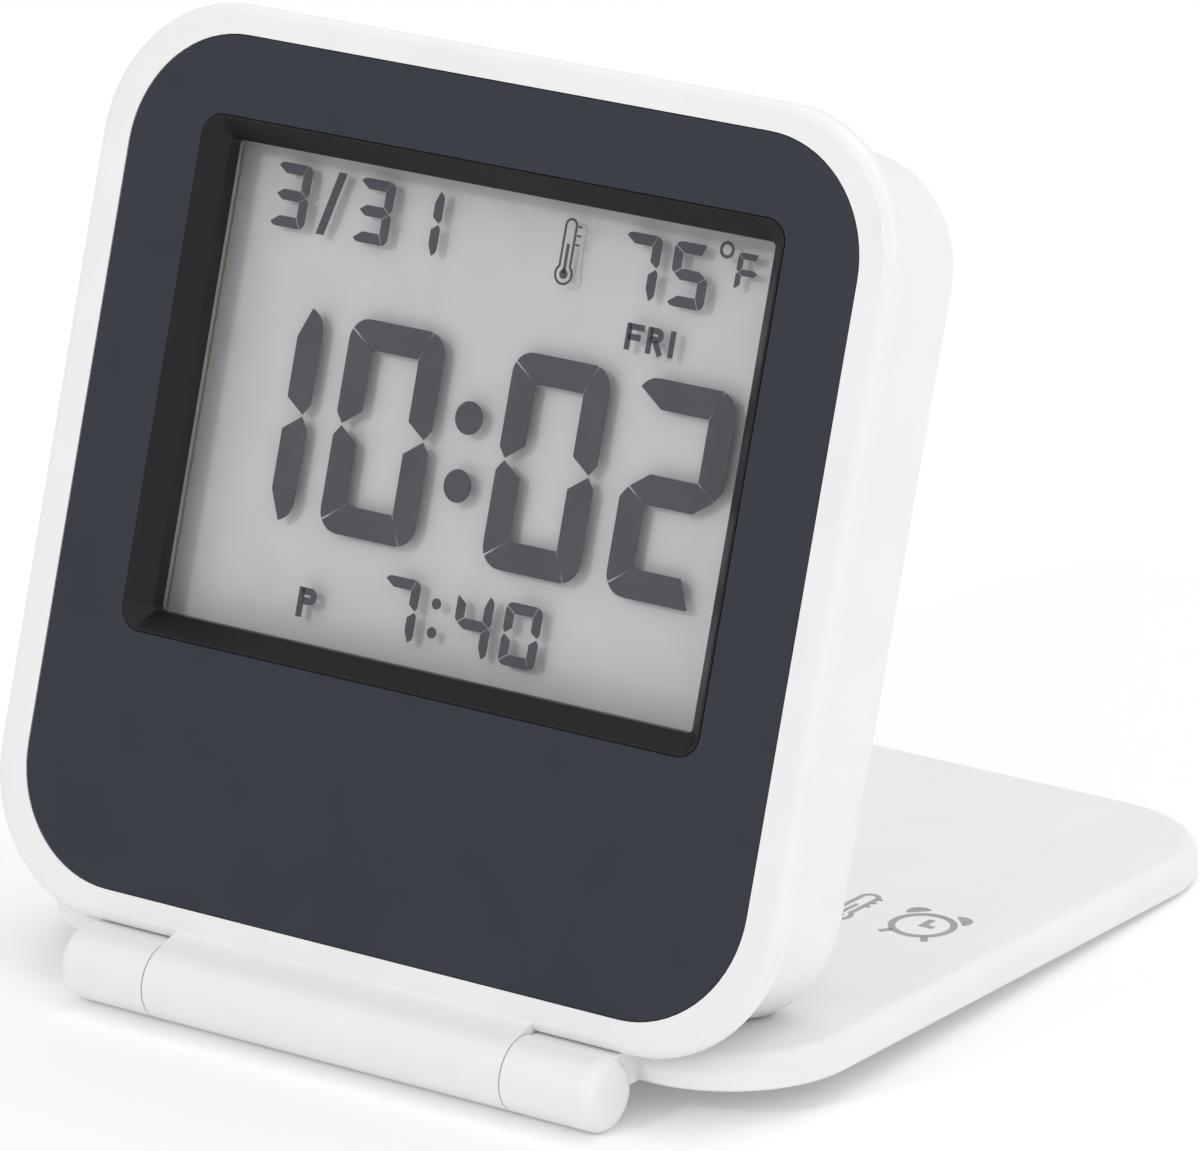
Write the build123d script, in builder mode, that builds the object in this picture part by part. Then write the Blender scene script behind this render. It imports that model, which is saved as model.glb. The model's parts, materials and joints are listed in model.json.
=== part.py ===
from build123d import *
from math import asin, atan2, cos, degrees, hypot, radians, sin
import os

# Folding travel alarm clock with a liquid crystal display.  Millimetres, +Z up, +Y to the back.
# The clock is modelled open on a desk: the case leans back on its own cover, which lies behind it.
# Depths run from the front face of the case towards its back.  Heights run up the case from
# the hinge axis.  The origin is the middle of the open clock's box, at desk level.

# ---------- driving dimensions: posture ----------
case_over_cover = 73.2          # angle between the cover's top and the case's face, degrees
barrel_radius = 3.05
face_setback = 0.35             # the face lies this far behind the hinge axis
stop_gap = 0.2                  # between the case's foot and the open cover

# ---------- front frame ----------
frame_width = 76.0
frame_bottom = 3.2
frame_top = 77.1
frame_corner = 12.0
flange_depth = 2.0
plate_width = 70.0
plate_bottom = 5.8
plate_top = 74.7
plate_corner = 10.0
plate_depth = 1.5
floor_back = 3.0
skirt_back = 6.0
skirt_wall = 1.2
fit_gap = 0.05

# ---------- rear case ----------
case_inset = 2.8
case_corner = 9.35
case_depth = 15.5
case_wall = 1.6
case_back_radius = 3.2
inner_depth = case_depth - case_wall
boss_front = 9.0                # the rear case's screw posts start here
screw_seat = 14.1
cut_front = 12.0                # openings through the back wall start here
beyond_back = case_depth + 1.0

# ---------- window and display ----------
window_width = 56.0
window_height = 41.7
window_mid = 47.35
window_bottom = window_mid - window_height / 2
window_top = window_mid + window_height / 2
rim_flange = 1.5                # behind the face plate, all round the window
view_width = 52.4
view_height = 38.1
rim_front = 0.05
bevel_depth = 1.65
glass_front = 3.05
glass_thickness = 1.1
glass_width = 55.2
glass_height = 45.0
rear_glass_height = 40.0
film_gap = 0.02                 # between the layers of the display
reflector_back = 5.5
board_front = 6.4
board_back = 7.4

# ---------- controls and battery on the back ----------
button_row_height = 54.0
button_columns = (-19.5, -6.5, 6.5, 19.5)
button_names = ("mode_button", "set_button", "up_button", "down_button", "snooze_button")
button_radius = 2.75
button_stand_out = 0.6
snooze_height = 64.0
snooze_width = 15.0
snooze_size = 5.5
switch_back = 9.9
plunger_back = 10.5
plunger_radius = 0.85
plunger_room = 8.3              # space for a plunger's flange, in its switch housing
plunger_stop = 9.0
slide_x = 21.0
slide_height = 41.0
slide_travel = 2.5
slide_middle = slide_x + slide_travel / 2
slide_body_back = 10.4
door_height = 25.0
door_radius = 12.0
lug_radius = door_radius + 1.2
lug_width = 8.0
lip_front = case_depth - 0.8
unlock_turn = 45.0
cup_front = 9.0
cup_floor = 9.8
cup_inner = 10.3
cup_outer = 11.5
cup_slot_back = 12.85           # the positive contact's slot in the cup's wall ends here
cell_radius = 10.0
cell_front = 10.3
cell_back = 13.5
buzzer_x = -20.5
buzzer_height = 39.0
buzzer_radius = 7.5
buzzer_front = 12.6
buzzer_back = 12.85
ceramic_front = 12.4
buzzer_wall = 11.6              # front of the ring that holds the buzzer
vent_x = 24.0
vent_height = 26.0
screw_x = 29.6
screw_heights = (12.5, 68.8)
pilot_radius = 0.82
clearance_radius = 0.95
board_screw_places = ((-24.0, 18.0), (24.0, 18.0), (0.0, 11.6))

# ---------- cover and hinge ----------
cover_width = 74.6
cover_near = 4.1                # near edge, from the hinge axis
cover_far = 74.3
cover_inner = -0.1              # underside, from the hinge axis
cover_thickness = 2.9
cover_corner = 10.9
cover_edge_radius = 1.2
cover_rim = 2.4
cover_pocket = 1.1
foot_land = 3.0                 # flat strip under the far edge that stands on the desk
centre_half = 17.4
end_start = 17.52
end_stop = 26.05
pin_radius = 1.0
pin_inner_end = 8.0

# ---------- worked-out posture ----------
land_start = cover_far - foot_land
land_reach = hypot(cover_inner, land_start)
cover_slope = degrees(asin(barrel_radius / land_reach) + atan2(cover_inner, land_start))
lean = 90.0 - case_over_cover + cover_slope     # case from the vertical
cover_outer = cover_inner + cover_thickness
edge_centre = (cover_far - cover_edge_radius, cover_outer - cover_edge_radius)
slope = radians(cover_slope)
back_most = edge_centre[0] * cos(slope) + edge_centre[1] * sin(slope) + cover_edge_radius
hinge_y = barrel_radius - (back_most + barrel_radius) / 2
hinge_point = (0.0, hinge_y, barrel_radius)

case_up = Vector(0, sin(radians(lean)), cos(radians(lean)))
case_front = Vector(0, -cos(radians(lean)), sin(radians(lean)))
case_plane = Plane(origin=hinge_point, x_dir=(1, 0, 0), z_dir=tuple(case_front))
cover_out = Vector(0, cos(slope), -sin(slope))
cover_up = Vector(0, sin(slope), cos(slope))
cover_plane = Plane(origin=hinge_point, x_dir=(1, 0, 0), z_dir=tuple(cover_up))
foot_plane = cover_plane.offset(cover_outer + stop_gap)
case_axis = Axis(hinge_point, tuple(case_front))
cover_axis = Axis(hinge_point, tuple(cover_up))
cavity_inset = case_inset + case_wall
skirt_inset = cavity_inset + 0.15

os.makedirs("parts", exist_ok=True)


# ---------- shared shapes ----------
def at_depth(depth):
    """Plane across the case at a depth behind its face: local x across, local y up the case."""
    return case_plane.offset(-face_setback - depth)


def case_section(x):
    """Plane along the case at a side position: local x towards the back, local y up the case."""
    return Plane(origin=(x, hinge_y, barrel_radius), x_dir=tuple(-case_front), z_dir=(1, 0, 0))


def cover_section(x):
    """Plane along the cover at a side position: local x away from the hinge, local y upwards."""
    return Plane(origin=(x, hinge_y, barrel_radius), x_dir=tuple(cover_out), z_dir=(1, 0, 0))


def slab(front, back, width, low, high, corner):
    """Rounded plate across the case between two depths and two heights."""
    with BuildPart() as plate:
        with BuildSketch(at_depth(front)):
            with Locations((0, (low + high) / 2)):
                RectangleRounded(width, high - low, corner)
        extrude(amount=front - back)
    return plate.part


def block(front, back, x, height, width, tall):
    """Plain block across the case, centred on a place."""
    with BuildPart() as piece:
        with BuildSketch(at_depth(front)):
            with Locations((x, height)):
                Rectangle(width, tall)
        extrude(amount=front - back)
    return piece.part


def disc(front, back, x, height, radius):
    """Round disc, post or hole along the case's depth."""
    with BuildPart() as piece:
        with BuildSketch(at_depth(front)):
            with Locations((x, height)):
                Circle(radius)
        extrude(amount=front - back)
    return piece.part


def inset_slab(front, back, inset, corner):
    """Plate with the frame's outline drawn in on every side."""
    return slab(front, back, frame_width - 2 * inset, frame_bottom + inset, frame_top - inset, corner)


def case_form(inset, corner, depth, back_radius, foot_offset):
    """Rounded body of the rear case, cut off at the bottom where it stands on the open cover."""
    with BuildPart() as form:
        add(inset_slab(flange_depth, depth, inset, corner))
        fillet(form.edges().group_by(case_axis)[0], radius=back_radius)
        split(bisect_by=foot_plane.offset(foot_offset), keep=Keep.TOP)
    return form.part


def finish(part, name):
    part.label = name
    export_step(part, f"parts/{name}.step")


# ---------- front frame with the middle hinge knuckle ----------
tangent = radians(35.0)
neck_outline = (
    (0, 0),
    (-barrel_radius * sin(tangent), barrel_radius * cos(tangent)),
    (face_setback, 3.97),
    (0.9, 5.6),
    (2.9, 5.6),
    (2.9, 0),
)
with BuildPart() as front_frame:
    add(inset_slab(0, flange_depth, 0, frame_corner))
    fillet(front_frame.edges().group_by(case_axis)[-1], radius=0.9)
    fillet(front_frame.edges().group_by(case_axis)[0], radius=0.6)
    split(bisect_by=foot_plane, keep=Keep.TOP)
    add(inset_slab(1.0, floor_back, skirt_inset, frame_corner - skirt_inset))
    add(inset_slab(floor_back, skirt_back, skirt_inset, frame_corner - skirt_inset))
    skirt_hole = skirt_inset + skirt_wall
    add(inset_slab(floor_back, skirt_back, skirt_hole, frame_corner - skirt_hole), mode=Mode.SUBTRACT)
    with BuildSketch(case_section(-centre_half)):
        Circle(barrel_radius)
        with BuildLine():
            Polyline(*neck_outline, close=True)
        make_face()
    extrude(amount=2 * centre_half)
    add(slab(0, plate_depth, plate_width, plate_bottom, plate_top, plate_corner), mode=Mode.SUBTRACT)
    rim_room = rim_flange + 0.1
    add(slab(plate_depth, floor_back, window_width + 2 * rim_room, window_bottom - rim_room,
             window_top + rim_room, 2.0), mode=Mode.SUBTRACT)
    for side in (-1, 1):
        for height in screw_heights:
            add(disc(floor_back, boss_front - 0.1, side * screw_x, height, 1.9))
            add(disc(4.0, boss_front - 0.1, side * screw_x, height, pilot_radius), mode=Mode.SUBTRACT)
    for x, height in board_screw_places:
        add(disc(floor_back, board_front, x, height, 2.1))
        add(disc(3.4, board_front, x, height, pilot_radius), mode=Mode.SUBTRACT)
    with BuildSketch(case_section(-centre_half)):
        Circle(pin_radius + fit_gap)
    extrude(amount=2 * centre_half, mode=Mode.SUBTRACT)
finish(front_frame.part, "front_frame")

# ---------- face plate and window rim ----------
with BuildPart() as face_plate:
    add(slab(0, plate_depth, plate_width - 2 * fit_gap, plate_bottom + fit_gap,
             plate_top - fit_gap, plate_corner - fit_gap))
    add(slab(0, plate_depth, window_width, window_bottom, window_top, 1.9), mode=Mode.SUBTRACT)
    fillet(face_plate.edges().group_by(case_axis)[-1], radius=0.15)
finish(face_plate.part, "face_plate")

with BuildPart() as window_rim:
    add(slab(rim_front, floor_back, window_width - 2 * fit_gap, window_bottom + fit_gap,
             window_top - fit_gap, 1.85))
    add(slab(plate_depth + fit_gap, floor_back, window_width + 2 * rim_flange,
             window_bottom - rim_flange, window_top + rim_flange, 1.9))
    with BuildSketch(at_depth(rim_front)):
        with Locations((0, window_mid)):
            RectangleRounded(window_width - 0.5, window_height - 0.5, 1.7)
    with BuildSketch(at_depth(bevel_depth)):
        with Locations((0, window_mid)):
            RectangleRounded(view_width, view_height, 0.45)
    loft(ruled=True, mode=Mode.SUBTRACT)
    with BuildSketch(at_depth(bevel_depth)):
        with Locations((0, window_mid)):
            RectangleRounded(view_width, view_height, 0.45)
    extrude(amount=bevel_depth - floor_back, mode=Mode.SUBTRACT)
finish(window_rim.part, "window_rim")

# ---------- display: two glasses, reflector, contacts and their holder ----------
glass_mid = glass_front + glass_thickness
glass_back = glass_mid + film_gap + glass_thickness
half_glass = glass_height / 2
half_rear = rear_glass_height / 2
finish(slab(glass_front, glass_mid, glass_width, window_mid - half_glass, window_mid + half_glass, 0.4),
       "lcd_front_glass")
finish(slab(glass_mid + film_gap, glass_back, glass_width, window_mid - half_rear,
            window_mid + half_rear, 0.4), "lcd_rear_glass")
finish(slab(glass_back + film_gap, reflector_back, glass_width - 0.4, window_mid - half_rear + 0.2,
            window_mid + half_rear - 0.2, 0.4), "lcd_reflector")
contact_offset = half_rear + (half_glass - half_rear) / 2
for name, side in (("zebra_strip_upper", 1), ("zebra_strip_lower", -1)):
    finish(block(glass_mid, board_front, 0, window_mid + side * contact_offset, 51.0, 1.9), name)

with BuildPart() as lcd_holder:
    add(slab(glass_front, board_front - fit_gap, glass_width + 2.6, window_mid - half_glass - 1.3,
             window_mid + half_glass + 1.3, 2.4))
    add(slab(glass_front, board_front, glass_width + 2 * fit_gap, window_mid - half_glass - fit_gap,
             window_mid + half_glass + fit_gap, 0.4), mode=Mode.SUBTRACT)
    add(slab(reflector_back + fit_gap, board_front - fit_gap, glass_width + 1.0,
             window_mid - half_rear - 0.2, window_mid + half_rear + 0.2, 0.4))
    add(slab(reflector_back, board_front, 40.0, window_mid - 14.0, window_mid + 14.0, 2.0),
        mode=Mode.SUBTRACT)
    for side in (-1, 1):
        for end in (-1, 1):
            ledge_height = window_mid + end * (contact_offset + 0.1)
            add(block(glass_mid + fit_gap, board_front - fit_gap, side * 26.7, ledge_height, 1.9, 2.6))
        add(disc(glass_front, board_front, side * screw_x, screw_heights[1], 2.05), mode=Mode.SUBTRACT)
finish(lcd_holder.part, "lcd_holder")

# ---------- main board and what is soldered to it ----------
with BuildPart() as main_board:
    add(slab(board_front, board_back, 56.4, 9.0, 71.0, 1.0))
    for side in (-1, 1):
        for height in screw_heights:
            add(disc(board_front, board_back, side * screw_x, height, 2.2), mode=Mode.SUBTRACT)
    for x, height in board_screw_places:
        add(disc(board_front, board_back, x, height, clearance_radius), mode=Mode.SUBTRACT)
finish(main_board.part, "main_board")

button_places = [(x, button_row_height) for x in button_columns] + [(0.0, snooze_height)]
with BuildPart() as switch_housings:
    for x, height in button_places:
        add(block(board_back, switch_back, x, height, 4.6, 4.6))
        add(disc(plunger_room, plunger_stop, x, height, 1.35), mode=Mode.SUBTRACT)
        add(disc(plunger_stop, switch_back, x, height, plunger_radius + fit_gap), mode=Mode.SUBTRACT)
finish(switch_housings.part, "switch_housings")

with BuildPart() as controller_blob:
    add(disc(board_back, board_back + 1.2, 4.0, 43.5, 5.0))
    fillet(controller_blob.edges().group_by(case_axis)[0], radius=1.1)
finish(controller_blob.part, "controller_blob")

with BuildPart() as quartz_crystal:
    with BuildSketch(case_section(13.0)):
        with Locations((face_setback + board_back + 1.05, 36.0)):
            Circle(1.0)
    extrude(amount=6.0)
    fillet(quartz_crystal.edges().filter_by(GeomType.CIRCLE), radius=0.3)
finish(quartz_crystal.part, "quartz_crystal")

chip_places = ((-8.0, 48.0), (-8.0, 45.5), (-8.0, 43.0), (12.0, 47.5), (12.0, 45.0), (14.5, 45.0),
               (-14.0, 62.0), (-11.0, 62.0), (12.5, 61.0), (15.5, 61.0), (-18.0, 24.0), (-18.0, 21.5))
with BuildPart() as chip_components:
    for x, height in chip_places:
        add(block(board_back, board_back + 0.6, x, height, 1.6, 0.8))
finish(chip_components.part, "chip_components")

with BuildPart() as thermistor:
    with BuildSketch(at_depth(board_back)):
        with Locations((vent_x - 0.8, vent_height), (vent_x + 0.8, vent_height)):
            Circle(0.2)
    extrude(amount=-3.2)
    with BuildSketch(at_depth(board_back + 3.0)):
        with Locations((vent_x, vent_height)):
            SlotOverall(3.0, 1.5)
    extrude(amount=-1.8)
    fillet(thermistor.edges().group_by(case_axis)[0], radius=0.5)
finish(thermistor.part, "thermistor")

with BuildPart() as slide_switch_body:
    add(block(board_back, slide_body_back, slide_middle, slide_height, 9.0, 3.6))
    add(block(9.2, slide_body_back, slide_middle, slide_height, 6.0, 1.7), mode=Mode.SUBTRACT)
finish(slide_switch_body.part, "slide_switch_body")

# ---------- screws ----------


def screw(x, height, head_front, head_back, head_radius, tip):
    """Self-tapping screw with a cross recess, pointing into the case from the back."""
    with BuildPart() as piece:
        add(disc(head_front, head_back, x, height, head_radius))
        fillet(piece.edges().group_by(case_axis)[0], radius=0.25)
        add(disc(tip, head_front, x, height, 0.78))
        add(block(head_back - 0.45, head_back, x, height, head_radius * 1.2, 0.35), mode=Mode.SUBTRACT)
        add(block(head_back - 0.45, head_back, x, height, 0.35, head_radius * 1.2), mode=Mode.SUBTRACT)
    return piece.part


with BuildPart() as board_screws:
    for x, height in board_screw_places:
        add(screw(x, height, board_back, board_back + 1.0, 1.7, 3.6))
finish(board_screws.part, "board_screws")

with BuildPart() as case_screws:
    for side in (-1, 1):
        for height in screw_heights:
            add(screw(side * screw_x, height, screw_seat, screw_seat + 0.9, 1.5, 4.6))
finish(case_screws.part, "case_screws")

# ---------- rear case ----------


def bayonet_bar(front, back, radius, width, turn):
    """Bar across the battery opening with round ends: the door's lugs, or the notches for them."""
    with BuildPart() as bar:
        with BuildSketch(at_depth(front)):
            with Locations((0, door_height)):
                Circle(radius)
                Rectangle(3 * radius, width, rotation=turn, mode=Mode.INTERSECT)
        extrude(amount=front - back)
    return bar.part


def pill(front, back, height, length, width):
    """Long rounded shape across the case on its middle line."""
    with BuildPart() as piece:
        with BuildSketch(at_depth(front)):
            with Locations((0, height)):
                SlotOverall(length, width)
        extrude(amount=front - back)
    return piece.part


with BuildPart() as rear_case:
    add(case_form(case_inset, case_corner, case_depth, case_back_radius, 0))
    add(case_form(cavity_inset, case_corner - case_wall, inner_depth, case_back_radius - case_wall,
                  case_wall), mode=Mode.SUBTRACT)
    for side in (-1, 1):
        for height in screw_heights:
            add(disc(boss_front, inner_depth + 0.4, side * screw_x, height, 2.5))
            add(disc(screw_seat, beyond_back, side * screw_x, height, 1.7), mode=Mode.SUBTRACT)
            add(disc(boss_front, screw_seat, side * screw_x, height, clearance_radius), mode=Mode.SUBTRACT)
    add(disc(cup_front, inner_depth + 0.2, 0, door_height, cup_outer))
    add(disc(cup_slot_back + 0.05, inner_depth + 0.2, 0, door_height, lug_radius + 1.6))
    add(disc(cup_floor, beyond_back, 0, door_height, cup_inner), mode=Mode.SUBTRACT)
    add(disc(inner_depth, beyond_back, 0, door_height, door_radius + 0.15), mode=Mode.SUBTRACT)
    add(disc(inner_depth, lip_front, 0, door_height, lug_radius + 0.2), mode=Mode.SUBTRACT)
    add(bayonet_bar(inner_depth, beyond_back, lug_radius + 0.15, lug_width + 0.5, unlock_turn),
        mode=Mode.SUBTRACT)
    add(block(cup_front, cup_floor, 0, door_height - 1.0, 6.0, 13.0), mode=Mode.SUBTRACT)
    add(block(cup_front, cup_slot_back, cup_inner + 0.2, door_height, 3.2, 6.0), mode=Mode.SUBTRACT)
    add(disc(buzzer_wall, inner_depth + 0.2, buzzer_x, buzzer_height, buzzer_radius + 1.2))
    add(disc(buzzer_wall, buzzer_back, buzzer_x, buzzer_height, buzzer_radius + 0.1), mode=Mode.SUBTRACT)
    add(disc(buzzer_back, inner_depth, buzzer_x, buzzer_height, buzzer_radius - 0.9), mode=Mode.SUBTRACT)
    for row in (-1, 0, 1):
        add(block(cut_front, beyond_back, buzzer_x, buzzer_height + 3.0 * row, 8.0, 1.2), mode=Mode.SUBTRACT)
        add(block(cut_front, beyond_back, vent_x, vent_height + 2.4 * row, 5.0, 0.9), mode=Mode.SUBTRACT)
    for x in button_columns:
        add(disc(cut_front, beyond_back, x, button_row_height, button_radius + 0.1), mode=Mode.SUBTRACT)
    add(pill(cut_front, beyond_back, snooze_height, snooze_width + 0.2, snooze_size + 0.2),
        mode=Mode.SUBTRACT)
    add(block(cut_front, beyond_back, slide_middle, slide_height, 3.4 + slide_travel, 2.2),
        mode=Mode.SUBTRACT)
finish(rear_case.part, "rear_case")

# ---------- battery, its door and contacts ----------
with BuildPart() as battery_door:
    add(disc(inner_depth + fit_gap, case_depth, 0, door_height, door_radius))
    fillet(battery_door.edges().group_by(case_axis)[0], radius=0.3)
    add(bayonet_bar(inner_depth + fit_gap, lip_front - 0.1, lug_radius, lug_width, 0))
    add(block(case_depth - 0.8, beyond_back, 0, door_height, 14.0, 1.6), mode=Mode.SUBTRACT)
finish(battery_door.part, "battery_door")

with BuildPart() as coin_cell:
    add(disc(cell_front + 0.6, cell_back, 0, door_height, cell_radius))
    fillet(coin_cell.edges().filter_by(GeomType.CIRCLE), radius=0.25)
    add(disc(cell_front, cell_front + 0.7, 0, door_height, cell_radius - 1.1))
finish(coin_cell.part, "coin_cell")


def bent_strip(path, x, width, section):
    """Bent metal strip: a path of depth and height points given some thickness and width."""
    with BuildPart() as strip:
        with BuildSketch(section(x - width / 2)):
            with BuildLine():
                Polyline(*[(face_setback + depth, height) for depth, height in path])
            trace(line_width=0.16)
        extrude(amount=width)
    return strip.part


negative_path = ((7.5, 17.0), (7.5, 19.4), (10.12, 23.0), (10.2, 25.0), (9.95, 27.6))
finish(bent_strip(negative_path, 0, 4.0, case_section), "battery_contact_negative")
with BuildPart() as battery_contact_positive:
    add(block(board_back, board_back + 0.16, 12.6, door_height, 3.4, 4.0))
    add(block(board_back, 12.8, 10.9, door_height, 0.16, 4.0))
    add(block(12.64, 12.8, 10.48, door_height, 0.9, 4.0))
finish(battery_contact_positive.part, "battery_contact_positive")

# ---------- buzzer ----------
finish(disc(buzzer_front, buzzer_back, buzzer_x, buzzer_height, buzzer_radius), "buzzer_disc")
finish(disc(ceramic_front, buzzer_front, buzzer_x, buzzer_height, 5.2), "buzzer_ceramic")
with BuildPart() as buzzer_spring_contacts:
    add(disc(board_back, ceramic_front, buzzer_x - 1.5, buzzer_height, 0.4))
    add(disc(board_back, buzzer_front, buzzer_x + 6.3, buzzer_height, 0.4))
finish(buzzer_spring_contacts.part, "buzzer_spring_contacts")

# ---------- push buttons and the plungers under them ----------
cap_back = case_depth + button_stand_out
flange_front = 13.05
flange_back = inner_depth - 0.1
for name, (x, height) in zip(button_names, button_places):
    with BuildPart() as button:
        if name == "snooze_button":
            add(pill(flange_front, cap_back, height, snooze_width, snooze_size))
            fillet(button.edges().group_by(case_axis)[0], radius=0.4)
            add(pill(flange_front, flange_back, height, snooze_width + 1.8, snooze_size + 1.8))
        else:
            add(disc(flange_front, cap_back, x, height, button_radius))
            fillet(button.edges().group_by(case_axis)[0], radius=0.4)
            add(disc(flange_front, flange_back, x, height, button_radius + 0.9))
        add(disc(plunger_back, flange_front, x, height, 1.3))
    finish(button.part, name)
    with BuildPart() as plunger:
        add(disc(plunger_stop - 0.03, plunger_back, x, height, plunger_radius))
        add(disc(plunger_stop - 0.18, plunger_stop - 0.03, x, height, 1.25))
    finish(plunger.part, name.replace("button", "plunger"))

# ---------- alarm slide switch ----------
knob_front = case_depth + 0.1
knob_back = case_depth + 0.7
with BuildPart() as alarm_slide_knob:
    add(block(knob_front, knob_back, slide_x, slide_height, 4.6, 4.4))
    for step in (-1, 0, 1):
        add(block(knob_back, knob_back + 0.3, slide_x + 1.4 * step, slide_height, 0.6, 4.4))
    add(block(flange_front, knob_front, slide_x, slide_height, 3.2, 2.0))
    add(block(flange_front, flange_back, slide_x, slide_height, 9.4, 4.4))
    for side in (-1, 1):
        add(block(10.9, flange_front, slide_x + side * 0.95, slide_height, 0.6, 1.4))
finish(alarm_slide_knob.part, "alarm_slide_knob")
with BuildPart() as slide_switch_lever:
    add(block(9.25, 10.3, slide_x, slide_height, 2.6, 1.6))
    add(block(10.3, 12.4, slide_x, slide_height, 1.2, 1.2))
finish(slide_switch_lever.part, "slide_switch_lever")

# ---------- cover with its two end knuckles ----------


def end_knuckle(side):
    """One end of the hinge barrel with the neck that joins it to the cover."""
    start = side * end_start
    length = end_stop - end_start
    with BuildPart() as knuckle:
        with BuildSketch(cover_section(start)):
            Circle(barrel_radius)
        extrude(amount=side * length)
        outer_edge = knuckle.edges().filter_by(GeomType.CIRCLE).sort_by(Axis.X)[-1 if side > 0 else 0]
        fillet(outer_edge, radius=1.2)
        with BuildSketch(cover_section(start)):
            with BuildLine():
                Polyline((0, cover_inner), (cover_near + 3.0, cover_inner),
                         (cover_near + 3.0, cover_outer), (0, cover_outer), close=True)
            make_face()
        extrude(amount=side * (length - 0.6))
    return knuckle.part


with BuildPart() as cover_panel:
    with BuildSketch(cover_plane.offset(cover_inner)):
        with Locations((0, (cover_near + cover_far) / 2)):
            RectangleRounded(cover_width, cover_far - cover_near, cover_corner)
    extrude(amount=cover_thickness)
    fillet(cover_panel.edges().group_by(cover_axis)[-1], radius=cover_edge_radius)
    fillet(cover_panel.edges().group_by(cover_axis)[0], radius=0.3)
    with BuildSketch(cover_plane.offset(cover_inner)):
        with Locations((0, (cover_near + cover_far) / 2 + 1.0)):
            RectangleRounded(cover_width - 2 * cover_rim, cover_far - cover_near - 2 * cover_rim - 2.0,
                             cover_corner - cover_rim)
    extrude(amount=cover_pocket, mode=Mode.SUBTRACT)
    for side in (-1, 1):
        add(end_knuckle(side))
    with BuildSketch(cover_section(-end_stop + 1.2)):
        Circle(pin_radius + 0.01)
    extrude(amount=2 * (end_stop - 1.2), mode=Mode.SUBTRACT)
    split(bisect_by=Plane.XY, keep=Keep.TOP)
finish(cover_panel.part, "cover_panel")

# ---------- hinge pins and the spring that pushes them apart ----------
for name, side in (("hinge_pin_left", -1), ("hinge_pin_right", 1)):
    with BuildPart() as hinge_pin:
        with BuildSketch(cover_section(side * pin_inner_end)):
            Circle(pin_radius)
        extrude(amount=side * (end_stop - 1.25 - pin_inner_end))
        chamfer(hinge_pin.edges().filter_by(GeomType.CIRCLE), length=0.2)
    finish(hinge_pin.part, name)

spring_length = 2 * (pin_inner_end - 0.3)
with BuildPart() as hinge_spring:
    with BuildLine() as coil:
        Helix(pitch=spring_length / 10, height=spring_length, radius=0.75,
              center=(-spring_length / 2, hinge_y, barrel_radius), direction=(1, 0, 0))
    with BuildSketch(Plane(origin=coil.line @ 0, z_dir=coil.line % 0)):
        Circle(0.2)
    sweep(is_frenet=True)
finish(hinge_spring.part, "hinge_spring")
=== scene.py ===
"""Looks of the folding travel alarm clock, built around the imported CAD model.

Lengths are metres in the CAD frame. Those called *_mm, and all the numbers of the flat shapes,
are millimetres.
"""
import json
import math

import bmesh
import bpy
from mathutils import Matrix, Vector


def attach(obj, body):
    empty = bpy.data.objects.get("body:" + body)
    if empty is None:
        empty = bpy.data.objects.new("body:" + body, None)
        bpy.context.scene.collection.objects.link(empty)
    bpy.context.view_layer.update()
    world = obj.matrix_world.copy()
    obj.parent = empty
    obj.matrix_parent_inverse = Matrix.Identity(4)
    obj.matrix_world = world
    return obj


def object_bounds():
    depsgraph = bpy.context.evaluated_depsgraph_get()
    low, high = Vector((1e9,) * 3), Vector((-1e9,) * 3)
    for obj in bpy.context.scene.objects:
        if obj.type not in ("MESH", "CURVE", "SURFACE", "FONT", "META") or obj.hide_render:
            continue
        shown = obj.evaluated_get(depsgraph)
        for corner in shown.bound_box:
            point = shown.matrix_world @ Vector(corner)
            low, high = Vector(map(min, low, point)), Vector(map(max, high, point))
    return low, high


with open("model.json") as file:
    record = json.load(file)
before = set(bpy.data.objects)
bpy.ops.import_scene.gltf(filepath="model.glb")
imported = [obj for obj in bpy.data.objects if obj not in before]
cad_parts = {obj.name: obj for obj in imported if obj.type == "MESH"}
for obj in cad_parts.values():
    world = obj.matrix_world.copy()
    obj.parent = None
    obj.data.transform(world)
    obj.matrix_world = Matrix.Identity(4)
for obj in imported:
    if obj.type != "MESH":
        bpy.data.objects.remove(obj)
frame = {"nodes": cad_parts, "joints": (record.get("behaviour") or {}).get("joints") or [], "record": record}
cad_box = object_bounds()
nodes = frame["nodes"]
joints = {joint["name"]: joint for joint in frame["joints"]}
slot_of_node = {part["node"]: part["material_slot"] for part in frame["record"]["subparts"]}

MM = 0.001
ACROSS = Vector((1, 0, 0))

# ---------- where the case and the open cover lie ----------
hinge = Vector(joints["cover_hinge"]["pos_m"])
case_front = Vector(joints["mode_press"]["axis"]).normalized()
case_up = case_front.cross(ACROSS)
cover_mesh = nodes["cover_panel"].data
cover_top = max((face for face in cover_mesh.polygons if face.normal.z > 0.9),
                key=lambda face: face.area)
cover_up = cover_top.normal.copy()
cover_out = cover_up.cross(ACROSS)


def reach(node, direction):
    """Lowest and highest extent of a CAD node along a direction, measured from the hinge."""
    values = [(vertex.co - hinge).dot(direction) for vertex in nodes[node].data.vertices]
    return min(values), max(values)


crystal_level = reach("lcd_front_glass", case_front)[0]
rear_level = reach("rear_case", case_front)[0]
cover_level = max((cover_mesh.vertices[i].co - hinge).dot(cover_up) for i in cover_top.vertices)


# ---------- materials ----------
NOISE_LOW, NOISE_HIGH = 0.3, 0.7    # the part of the noise's range that holds most of its values


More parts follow.
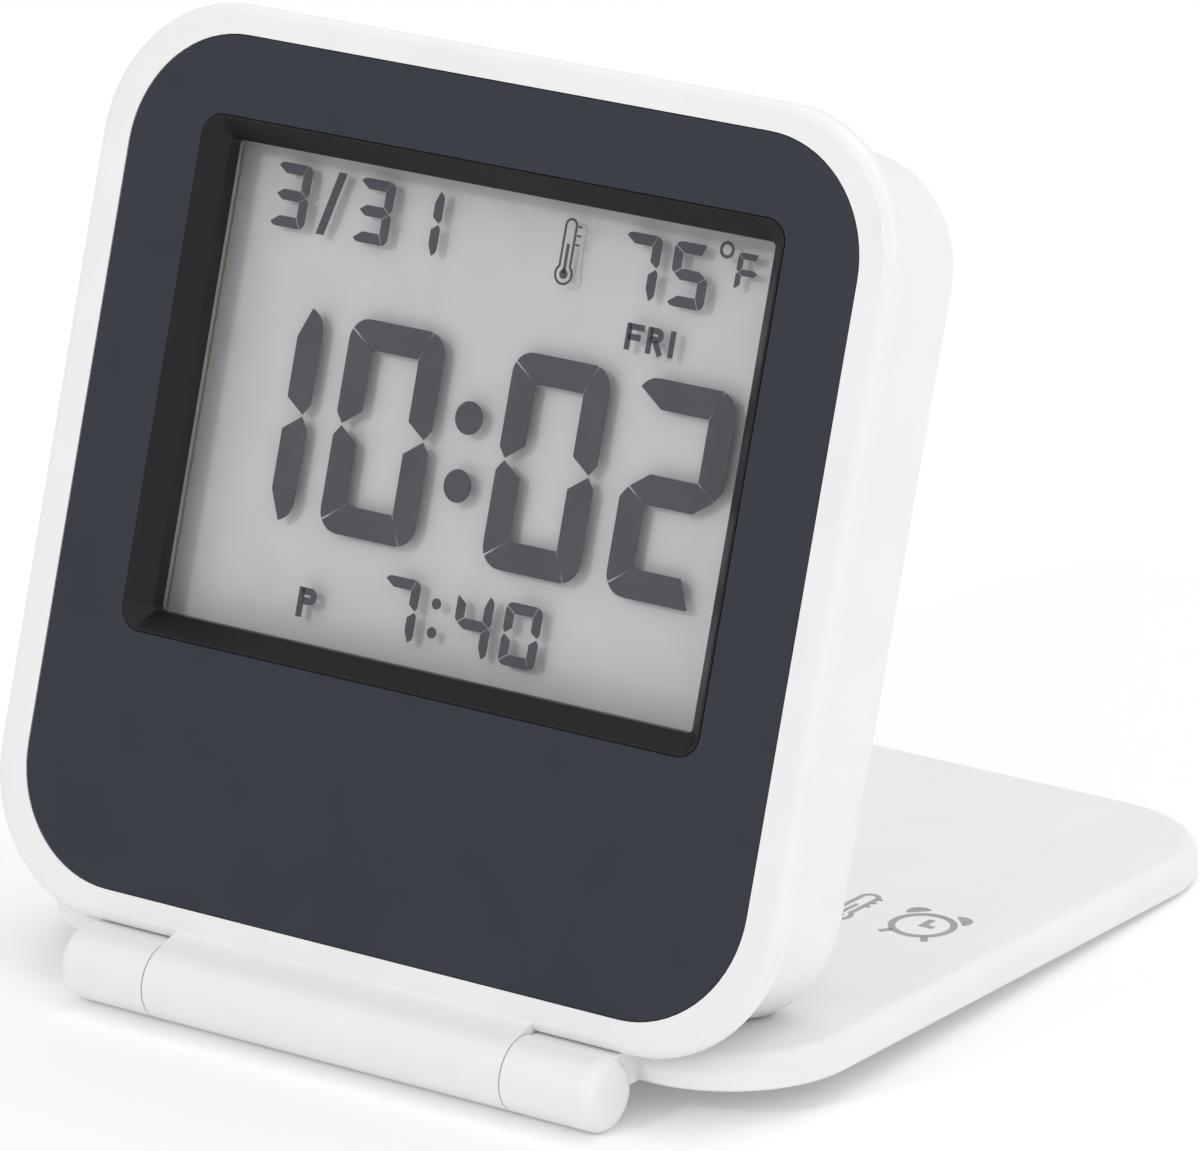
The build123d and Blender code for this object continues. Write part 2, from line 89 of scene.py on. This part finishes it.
def object_noise(tree, size_mm, detail=2.0, stretch=(1, 1, 1)):
    """Noise with features of about size_mm that stays on the piece as it moves."""
    place = tree.nodes.new("ShaderNodeTexCoord")
    mapping = tree.nodes.new("ShaderNodeMapping")
    mapping.inputs["Scale"].default_value = stretch
    noise = tree.nodes.new("ShaderNodeTexNoise")
    noise.inputs["Scale"].default_value = 1 / (size_mm * MM)
    noise.inputs["Detail"].default_value = detail
    tree.links.new(place.outputs["Object"], mapping.inputs["Vector"])
    tree.links.new(mapping.outputs["Vector"], noise.inputs["Vector"])
    return noise.outputs["Fac"]


def remap(tree, value, low, high):
    """A noise value spread over the range from low to high."""
    spread = tree.nodes.new("ShaderNodeMapRange")
    spread.inputs["From Min"].default_value = NOISE_LOW
    spread.inputs["From Max"].default_value = NOISE_HIGH
    spread.inputs["To Min"].default_value = low
    spread.inputs["To Max"].default_value = high
    tree.links.new(value, spread.inputs["Value"])
    return spread.outputs["Result"]


def two_tone(tree, value, first, second):
    """A colour that goes from first to second with a noise value."""
    ramp = tree.nodes.new("ShaderNodeValToRGB")
    ramp.color_ramp.elements[0].position = NOISE_LOW
    ramp.color_ramp.elements[0].color = (*first, 1)
    ramp.color_ramp.elements[1].position = NOISE_HIGH
    ramp.color_ramp.elements[1].color = (*second, 1)
    tree.links.new(value, ramp.inputs["Fac"])
    return ramp.outputs["Color"]


def finish_material(name, first, second, rough, grain_mm=0.12, bump_mm=0.004, blotch_mm=6.0,
                    metallic=0.0, specular=0.5, coat=0.0, stretch=(1, 1, 1)):
    """A surface with blotchy colour, uneven roughness and a fine moulded or worked grain."""
    material = bpy.data.materials.new(name)
    material.use_nodes = True
    tree = material.node_tree
    shader = tree.nodes["Principled BSDF"]
    shader.inputs["Metallic"].default_value = metallic
    shader.inputs["Specular IOR Level"].default_value = specular
    shader.inputs["Coat Weight"].default_value = coat
    blotches = object_noise(tree, blotch_mm, 3.0, stretch)
    tree.links.new(two_tone(tree, blotches, first, second), shader.inputs["Base Color"])
    smears = object_noise(tree, blotch_mm * 0.4, 4.0, stretch)
    tree.links.new(remap(tree, smears, *rough), shader.inputs["Roughness"])
    bump = tree.nodes.new("ShaderNodeBump")
    bump.inputs["Distance"].default_value = bump_mm * MM
    tree.links.new(object_noise(tree, grain_mm, 3.0, stretch), bump.inputs["Height"])
    tree.links.new(bump.outputs["Normal"], shader.inputs["Normal"])
    return material


def glass_material(name, tint, gloss):
    """Thin display glass: clear, with a mirror sheen that grows at grazing angles."""
    material = bpy.data.materials.new(name)
    material.use_nodes = True
    tree = material.node_tree
    tree.nodes.clear()
    clear = tree.nodes.new("ShaderNodeBsdfTransparent")
    clear.inputs["Color"].default_value = (*tint, 1)
    sheen = tree.nodes.new("ShaderNodeBsdfPrincipled")
    sheen.inputs["Base Color"].default_value = (0.9, 0.93, 0.92, 1)
    sheen.inputs["Metallic"].default_value = 1.0
    tree.links.new(remap(tree, object_noise(tree, 9.0), 0.03, 0.08), sheen.inputs["Roughness"])
    facing = tree.nodes.new("ShaderNodeLayerWeight")
    facing.inputs["Blend"].default_value = 0.1
    share = tree.nodes.new("ShaderNodeMath")
    share.operation = "MULTIPLY"
    share.inputs[1].default_value = gloss
    tree.links.new(facing.outputs["Fresnel"], share.inputs[0])
    mix = tree.nodes.new("ShaderNodeMixShader")
    tree.links.new(share.outputs["Value"], mix.inputs["Fac"])
    tree.links.new(clear.outputs["BSDF"], mix.inputs[1])
    tree.links.new(sheen.outputs["BSDF"], mix.inputs[2])
    output = tree.nodes.new("ShaderNodeOutputMaterial")
    tree.links.new(mix.outputs["Shader"], output.inputs["Surface"])
    return material


materials = {
    "white_shell": finish_material("white_shell", (0.80, 0.80, 0.80), (0.825, 0.825, 0.822),
                                   (0.36, 0.46), grain_mm=0.16, bump_mm=0.003),
    "navy_plate": finish_material("navy_plate", (0.020, 0.023, 0.036), (0.024, 0.027, 0.041),
                                  (0.42, 0.52), grain_mm=0.10, bump_mm=0.004, specular=0.3),
    "black_rim": finish_material("black_rim", (0.004, 0.004, 0.0045), (0.006, 0.006, 0.0066),
                                 (0.36, 0.48), grain_mm=0.10, bump_mm=0.003, specular=0.3),
    "clear_glass": glass_material("clear_glass", (0.994, 0.994, 0.995), 0.9),
    "grey_reflector": finish_material("grey_reflector", (0.60, 0.60, 0.605), (0.63, 0.63, 0.635),
                                      (0.55, 0.70), grain_mm=0.06, bump_mm=0.006, blotch_mm=3.0),
    "grey_rubber": finish_material("grey_rubber", (0.20, 0.20, 0.21), (0.26, 0.26, 0.27),
                                   (0.60, 0.75), stretch=(1, 4, 4)),
    "ivory_holder": finish_material("ivory_holder", (0.62, 0.59, 0.50), (0.66, 0.63, 0.55),
                                    (0.42, 0.52)),
    "green_board": finish_material("green_board", (0.012, 0.11, 0.035), (0.03, 0.19, 0.07),
                                   (0.30, 0.42), grain_mm=0.7, bump_mm=0.02, blotch_mm=2.2),
    "black_switch": finish_material("black_switch", (0.012, 0.012, 0.012), (0.022, 0.022, 0.022),
                                    (0.42, 0.55)),
    "steel": finish_material("steel", (0.52, 0.52, 0.53), (0.62, 0.62, 0.63), (0.20, 0.34),
                             grain_mm=0.08, bump_mm=0.003, metallic=1.0, stretch=(0.2, 3, 3)),
    "black_epoxy": finish_material("black_epoxy", (0.008, 0.008, 0.008), (0.018, 0.018, 0.018),
                                   (0.22, 0.36), grain_mm=0.8, bump_mm=0.03),
    "tan_chip": finish_material("tan_chip", (0.26, 0.18, 0.10), (0.36, 0.26, 0.15),
                                (0.45, 0.60), blotch_mm=1.0),
    "brass": finish_material("brass", (0.62, 0.44, 0.17), (0.72, 0.53, 0.24), (0.22, 0.38),
                             metallic=1.0),
    "ceramic": finish_material("ceramic", (0.66, 0.65, 0.61), (0.74, 0.73, 0.69), (0.5, 0.65)),
    "grey_key": finish_material("grey_key", (0.40, 0.41, 0.43), (0.44, 0.45, 0.47), (0.40, 0.52)),
}
# every CAD part is carried over, with the material of its slot in the record
for node_name, node in nodes.items():
    for material_slot in node.material_slots:
        material_slot.material = materials[slot_of_node[node_name]]
segment_ink = finish_material("segment_ink", (0.086, 0.086, 0.102), (0.096, 0.096, 0.112),
                              (0.6, 0.7), grain_mm=0.05, bump_mm=0.001, specular=0.2)
grey_print = finish_material("grey_print", (0.32, 0.32, 0.32), (0.37, 0.37, 0.37), (0.5, 0.6),
                             grain_mm=0.08, bump_mm=0.004)


# ---------- flat shapes, in millimetres ----------
SHARPEST = 0.4                      # keeps a very sharp corner's point from running far out


def arc(centre, radius, start, end, steps=12):
    """Points round part of a circle, with the angles in degrees."""
    angles = [math.radians(start + (end - start) * i / steps) for i in range(steps + 1)]
    return [(centre[0] + radius * math.cos(a), centre[1] + radius * math.sin(a)) for a in angles]


def circle(x, y, radius, sides=24):
    """Points round a whole circle."""
    return arc((x, y), radius, 0, 360 - 360 / sides, sides - 1)


def offset(points, distance, closed):
    """The line moved sideways to its left, with its corners kept sharp."""
    shifted = []
    count = len(points)
    for i, (x, y) in enumerate(points):
        sides = []
        for a, b in ((i - 1, i), (i, i + 1)):
            if closed or 0 <= a < b < count:
                p, q = points[a % count], points[b % count]
                length = math.hypot(q[0] - p[0], q[1] - p[1])
                sides.append(((p[1] - q[1]) / length, (q[0] - p[0]) / length))
        nx = sum(side[0] for side in sides)
        ny = sum(side[1] for side in sides)
        scale = distance * len(sides) / max(nx * nx + ny * ny, SHARPEST)
        shifted.append((x + nx * scale, y + ny * scale))
    return shifted


def area_shape(points, shrink=0.0):
    """A filled shape, drawn anticlockwise, with its edge moved in by shrink."""
    return offset(points, shrink, True), None


def line_shape(points, width):
    """A stroke along an open line."""
    left, right = offset(points, width / 2, False), offset(points, -width / 2, False)
    return right + left[::-1], None


def ring_shape(points, width):
    """A stroke round a closed line, drawn anticlockwise."""
    return offset(points, -width / 2, True), offset(points, width / 2, True)


def dot_shape(x, y, radius):
    """A filled dot."""
    return circle(x, y, radius), None


def moved(shapes, dx, dy):
    """The same shapes further across and up."""
    return [tuple(loop and [(x + dx, y + dy) for x, y in loop] for loop in shape)
            for shape in shapes]


# ---------- shapes of the display's characters ----------
LIT = {"0": "abcdef", "1": "bc", "2": "abged", "3": "abgcd", "4": "fgbc", "5": "afgcd",
       "7": "abc", "F": "afeg"}
SEGMENT_GAP = 0.12
FULL_GAP_STROKE = 1.5               # a narrower stroke has a narrower gap
CORNER_ROUND = 0.76                 # these three are shares of the stroke
TIP_INSET = 0.28
TIP_RISE = 0.36
BOWL_MIDDLE = 0.72                  # these four are shares of a letter's height
BOWL_RADIUS = 0.28
BOWL_FOOT = 0.44
MIDDLE_BAR = 0.5


def segments(character, left, bottom, width, height, stroke):
    """The lit segments of one seven-segment character, mitred and with rounded outer corners."""
    w, h, t = width, height, stroke
    mid, r = height / 2, stroke * CORNER_ROUND
    inset, rise = TIP_INSET * t, TIP_RISE * t
    upper = {
        "a": [(t, h - t), (w - t, h - t), *arc((w - r, h - r), r, 75, 90, 2),
              *arc((r, h - r), r, 90, 150, 5)],
        "b": [(w - t, h - t), (w - t, mid + t / 2), (w - inset, mid), (w, mid + rise),
              *arc((w - r, h - r), r, 0, 75, 6)],
        "f": [(t, h - t), *arc((r, h - r), r, 150, 180, 3), (0, mid + rise), (inset, mid),
              (t, mid + t / 2)],
    }
    lower = {twin: [(x, h - y) for x, y in reversed(upper[name])]
             for name, twin in (("a", "d"), ("b", "c"), ("f", "e"))}
    middle = {"g": [(inset, mid), (t, mid - t / 2), (w - t, mid - t / 2), (w - inset, mid),
                    (w - t, mid + t / 2), (t, mid + t / 2)]}
    outlines = {**upper, **lower, **middle}
    gap = SEGMENT_GAP * min(1.0, stroke / FULL_GAP_STROKE) / 2
    shapes = [area_shape(outlines[name], gap) for name in LIT[character]]
    return moved(shapes, left, bottom)


def letter(character, left, bottom, width, height, stroke):
    """A plain block letter for the weekday and the afternoon mark."""
    s = stroke / 2
    bend = arc((width - 3 * s, height * BOWL_MIDDLE), height * BOWL_RADIUS - s, 90, -90, 8)
    bowl = [(s, height - s), *bend, (s, height * BOWL_FOOT + s)]
    parts = {
        "F": [[(s, 0), (s, height)], [(s, height - s), (width, height - s)],
              [(s, height * MIDDLE_BAR), (width * 0.85, height * MIDDLE_BAR)]],
        "I": [[(s, 0), (s, height)]],
        "P": [[(s, 0), (s, height)], bowl],
        "R": [[(s, 0), (s, height)], bowl, [(width * 0.45, height * MIDDLE_BAR), (width - s, 0)]],
    }
    return moved([line_shape(line, stroke) for line in parts[character]], left, bottom)


def thermometer(x, bottom, height, bulb, tube, stroke):
    """Outline of a bulb thermometer with its filled column and three marks."""
    half = math.degrees(math.asin(tube / bulb))
    centre = (x, bottom + bulb)
    top = bottom + height - tube
    outline = [*arc(centre, bulb, 90 + half, 450 - half, 20), *arc((x, top), tube, 0, 180, 8)]
    column = [(x, bottom + bulb), (x, bottom + height * 0.62)]
    marks = [[(x + tube + 0.15, y), (x + tube + 0.55, y)]
             for y in (top, top - height * 0.14, top - height * 0.28)]
    return [ring_shape(outline, stroke), line_shape(column, tube * 0.55),
            dot_shape(*centre, bulb * 0.5), *[line_shape(mark, stroke * 0.8) for mark in marks]]


# ---------- thin pieces laid on the case or the cover ----------
def thin_piece(name, shapes, place, normal, thickness_mm, material, body):
    """Thin raised shapes. place turns millimetres across and up into a point on the surface."""
    lift = normal * (thickness_mm * MM)
    mesh = bmesh.new()
    for outer, inner in shapes:
        loops = [outer] if inner is None else [outer, inner]
        low = [[mesh.verts.new(place(x, y)) for x, y in loop] for loop in loops]
        high = [[mesh.verts.new(vertex.co + lift) for vertex in loop] for loop in low]
        count = len(outer)
        for bottom_loop, top_loop in zip(low, high):
            for i in range(count):
                j = (i + 1) % count
                mesh.faces.new((bottom_loop[i], bottom_loop[j], top_loop[j], top_loop[i]))
        for level in (low, high):
            if inner is None:
                mesh.faces.new(level[0])
                continue
            for i in range(count):
                j = (i + 1) % count
                mesh.faces.new((level[0][i], level[0][j], level[1][j], level[1][i]))
    bmesh.ops.recalc_face_normals(mesh, faces=mesh.faces)
    data = bpy.data.meshes.new(name)
    mesh.to_mesh(data)
    mesh.free()
    data.materials.append(material)
    piece = bpy.data.objects.new(name, data)
    bpy.context.scene.collection.objects.link(piece)
    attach(piece, body)


def on_case(level):
    """Places a point across and up the case, at a distance along its front direction."""
    return lambda x, y: hinge + ACROSS * (x * MM) + case_up * (y * MM) + case_front * level


def on_cover(x, y):
    """Places a point across the cover and away from its hinge, on its outer face."""
    return hinge + ACROSS * (x * MM) + cover_out * (y * MM) + cover_up * cover_level


def on_back(x, y):
    """Places a point on the flat back of the case, with x to the right as seen from behind."""
    return hinge - ACROSS * (x * MM) + case_up * (y * MM) + case_front * rear_level


# ---------- the display's characters, placed across and up the case from the hinge ----------
INK_MM = 0.02


def display_piece(name, shapes):
    """Characters at the back of the display's front glass."""
    thin_piece(name, shapes, on_case(crystal_level), case_front, INK_MM, segment_ink, "case")


time_size = dict(bottom=37.1, width=9.45, height=17.3, stroke=2.5)
time_lefts = (-25.4, -13.45, 2.45, 14.3)
display_piece("lcd_time", [shape for left, digit in zip(time_lefts, "1002")
                           for shape in segments(digit, left, **time_size)])
display_piece("lcd_time_colon", [dot_shape(-0.8, y, radius=1.33) for y in (42.9, 48.3)])

date_size = dict(bottom=60.1, width=3.55, height=5.2, stroke=0.95)
slash = [(-18.35, 60.1), (-17.55, 60.1), (-16.2, 65.25), (-17.0, 65.25)]
date_digits = ((-23.05, "3"), (-14.85, "3"), (-10.05, "1"))
display_piece("lcd_date", [area_shape(slash), *[shape for left, digit in date_digits
                                                for shape in segments(digit, left, **date_size)]])

temperature_size = dict(bottom=59.95, width=3.55, height=5.15, stroke=0.95)
display_piece("lcd_temperature", [
    *segments("7", 10.85, **temperature_size), *segments("5", 15.5, **temperature_size),
    ring_shape(circle(20.3, 65.05, radius=0.55), width=0.26),
    *segments("F", 21.4, bottom=62.0, width=2.2, height=3.1, stroke=0.55)])
display_piece("lcd_thermometer",
              thermometer(5.7, bottom=60.0, height=5.1, bulb=0.78, tube=0.5, stroke=0.2))

weekday_size = dict(bottom=56.0, width=1.65, height=2.1, stroke=0.5)
weekday_letters = ((12.4, "F"), (14.4, "R"), (16.5, "I"))
display_piece("lcd_weekday", [shape for left, mark in weekday_letters
                              for shape in letter(mark, left, **weekday_size)])
display_piece("lcd_afternoon_mark",
              letter("P", -14.1, bottom=30.1, width=2.0, height=2.4, stroke=0.58))

alarm_size = dict(bottom=29.95, width=3.6, height=5.05, stroke=0.95)
alarm_digits = ((-6.15, "7"), (1.0, "4"), (5.65, "0"))
display_piece("lcd_alarm_time", [
    *[shape for left, digit in alarm_digits for shape in segments(digit, left, **alarm_size)],
    *[dot_shape(-0.88, y, radius=0.45) for y in (31.2, 33.5)]])


# ---------- pictograms printed on the cover and beside the keys ----------
PRINT_MM = 0.015
KEY_MARK_RISE = 4.6                 # from a key's middle up to its mark
SLIDE_MARK_RISE = 4.4
SNOOZE_MARK_SIDE = 11.2


def clock_mark(x, y, radius, stroke):
    """A clock face with two hands."""
    return [ring_shape(circle(x, y, radius, 36), stroke),
            line_shape([(x, y + radius * 0.58), (x, y), (x + radius * 0.42, y)], stroke)]


def alarm_clock_mark(x, y, radius, stroke):
    """The clock face with two bells and two feet."""
    shapes = clock_mark(x, y, radius, stroke)
    for side in (-1, 1):
        bell = arc((x + side * radius * 0.78, y + radius * 0.98), radius * 0.42,
                   -side * 45, 180 - side * 45, 10)
        foot = [(x + side * radius * 0.62, y - radius * 0.86),
                (x + side * radius * 0.86, y - radius * 1.22)]
        shapes += [area_shape(bell), line_shape(foot, stroke)]
    return shapes


def calendar_mark(x, y, width, stroke):
    """A calendar leaf: a frame, the line under its head and six days."""
    half = width / 2
    leaf = [(x - half, y - half), (x + half, y - half), (x + half, y + half), (x - half, y + half)]
    head = [(x - half, y + half * 0.5), (x + half, y + half * 0.5)]
    days = [dot_shape(x + half * 0.55 * column, y + half * row, stroke * 0.6)
            for column in (-1, 0, 1) for row in (-0.05, -0.55)]
    return [ring_shape(leaf, stroke), line_shape(head, stroke), *days]


def moon_mark(x, y, radius):
    """A crescent moon."""
    outer = arc((x, y), radius, 50, 310, 24)
    inner = arc((x + radius * 0.45, y), radius * 0.80, 287, 73, 18)
    return [area_shape(outer + inner[1:-1])]


def bell_mark(x, y, size):
    """A bell with its clapper."""
    bell = [(x - size, y - size * 0.6), (x + size, y - size * 0.6), (x + size * 0.65, y),
            *arc((x, y + size * 0.35), size * 0.62, 0, 180, 10), (x - size * 0.65, y)]
    return [area_shape(bell), dot_shape(x, y - size * 0.85, size * 0.2)]


def arrow_mark(x, y, size, direction):
    """A triangle that points up the case, or down it for a direction of -1."""
    corners = [(x - size, y - direction * size * 0.6), (x + size, y - direction * size * 0.6),
               (x, y + direction * size * 0.8)]
    return [area_shape(corners[::direction])]


def list_mark(x, y, size, stroke):
    """Three short lines."""
    return [line_shape([(x - size, y + row), (x + size, y + row)], stroke)
            for row in (-size * 0.8, 0, size * 0.8)]


thin_piece("cover_pictograms", [
    *alarm_clock_mark(28.6, 39.0, radius=2.5, stroke=0.6),
    *thermometer(21.6, bottom=36.0, height=6.6, bulb=1.15, tube=0.72, stroke=0.45),
    *calendar_mark(-21.6, 39.2, width=5.2, stroke=0.5),
    *moon_mark(-28.6, 39.2, radius=3.0)],
    on_cover, cover_up, PRINT_MM, grey_print, "cover")


def centre_behind(node):
    """The middle of a CAD node in millimetres on the back: across as seen from behind, and up."""
    across, up = reach(node, ACROSS), reach(node, case_up)
    return -sum(across) / 2 / MM, sum(up) / 2 / MM


mode_x, mode_y = centre_behind("mode_button")
set_x, set_y = centre_behind("set_button")
up_x, up_y = centre_behind("up_button")
down_x, down_y = centre_behind("down_button")
snooze_x, snooze_y = centre_behind("snooze_button")
slide_x, slide_y = centre_behind("alarm_slide_knob")
thin_piece("back_pictograms", [
    *clock_mark(mode_x, mode_y + KEY_MARK_RISE, radius=1.0, stroke=0.25),
    *list_mark(set_x, set_y + KEY_MARK_RISE, size=0.9, stroke=0.28),
    *arrow_mark(up_x, up_y + KEY_MARK_RISE, size=0.9, direction=1),
    *arrow_mark(down_x, down_y + KEY_MARK_RISE, size=0.9, direction=-1),
    *moon_mark(snooze_x - SNOOZE_MARK_SIDE, snooze_y, radius=1.2),
    *bell_mark(slide_x + 0.2, slide_y + SLIDE_MARK_RISE, size=1.0)],
    on_back, -case_front, PRINT_MM, grey_print, "case")


# ---------- floor, light and camera ----------
def add_floor():
    """A plain pale floor, far larger than the view."""
    half = 1.5
    data = bpy.data.meshes.new("floor")
    corners = [(-half, -half, 0), (half, -half, 0), (half, half, 0), (-half, half, 0)]
    data.from_pydata(corners, [], [(0, 1, 2, 3)])
    material = finish_material("floor", (0.86, 0.86, 0.86), (0.88, 0.88, 0.88), (0.8, 0.9),
                               grain_mm=2.0, bump_mm=0.0, blotch_mm=300, specular=0.1)
    shader = material.node_tree.nodes["Principled BSDF"]
    shader.inputs["Emission Color"].default_value = (1, 1, 1, 1)
    shader.inputs["Emission Strength"].default_value = 0.10
    data.materials.append(material)
    floor = bpy.data.objects.new("floor", data)
    bpy.context.scene.collection.objects.link(floor)


def add_light(name, azimuth, elevation, distance, size, power):
    """A round soft light that looks at the clock. Azimuth 0 is in front and 90 is to the right."""
    a, e = math.radians(azimuth), math.radians(elevation)
    back = Vector((math.sin(a) * math.cos(e), -math.cos(a) * math.cos(e), math.sin(e)))
    data = bpy.data.lights.new(name, "AREA")
    data.shape = "DISK"
    data.size = size
    data.energy = power
    light = bpy.data.objects.new(name, data)
    light.location = (cad_box[0] + cad_box[1]) / 2 + back * distance
    light.rotation_mode = "QUATERNION"
    light.rotation_quaternion = (-back).to_track_quat("-Z", "Y")
    bpy.context.scene.collection.objects.link(light)


def add_world(strength):
    """Even white light from all round."""
    world = bpy.data.worlds.new("studio")
    bpy.context.scene.world = world
    world.use_nodes = True
    background = world.node_tree.nodes["Background"]
    background.inputs["Color"].default_value = (1, 1, 1, 1)
    background.inputs["Strength"].default_value = strength


def add_camera():
    """The camera: its angles in degrees, its distance in metres and its target in millimetres."""
    azimuth, elevation, roll = (math.radians(angle) for angle in (35.944, 19.902, 1.407))
    target = Vector((24.737, -33.821, 44.633)) * MM
    distance, lens = 0.6519, 260.634
    forward = Vector((-math.sin(azimuth) * math.cos(elevation),
                      math.cos(azimuth) * math.cos(elevation), -math.sin(elevation)))
    level_right = forward.cross(Vector((0, 0, 1))).normalized()
    level_up = level_right.cross(forward)
    right = level_right * math.cos(roll) - level_up * math.sin(roll)
    up = level_up * math.cos(roll) + level_right * math.sin(roll)
    data = bpy.data.cameras.new("camera")
    data.sensor_width = 36
    data.lens = lens
    data.clip_start, data.clip_end = 0.01, 10
    camera = bpy.data.objects.new("camera", data)
    camera.matrix_world = (Matrix.Translation(target - forward * distance)
                           @ Matrix((right, up, -forward)).transposed().to_4x4())
    bpy.context.scene.collection.objects.link(camera)
    bpy.context.scene.camera = camera


add_floor()
add_world(strength=0.75)
add_light("key", azimuth=-12, elevation=34, distance=0.9, size=0.12, power=1.2)
add_light("right_fill", azimuth=80, elevation=28, distance=0.9, size=0.7, power=1.3)
add_light("top", azimuth=150, elevation=68, distance=0.9, size=0.9, power=2.4)
add_camera()
bpy.context.scene.view_settings.view_transform = "Standard"
bpy.context.scene.cycles.transparent_max_bounces = 24    # for the display's layers of glass
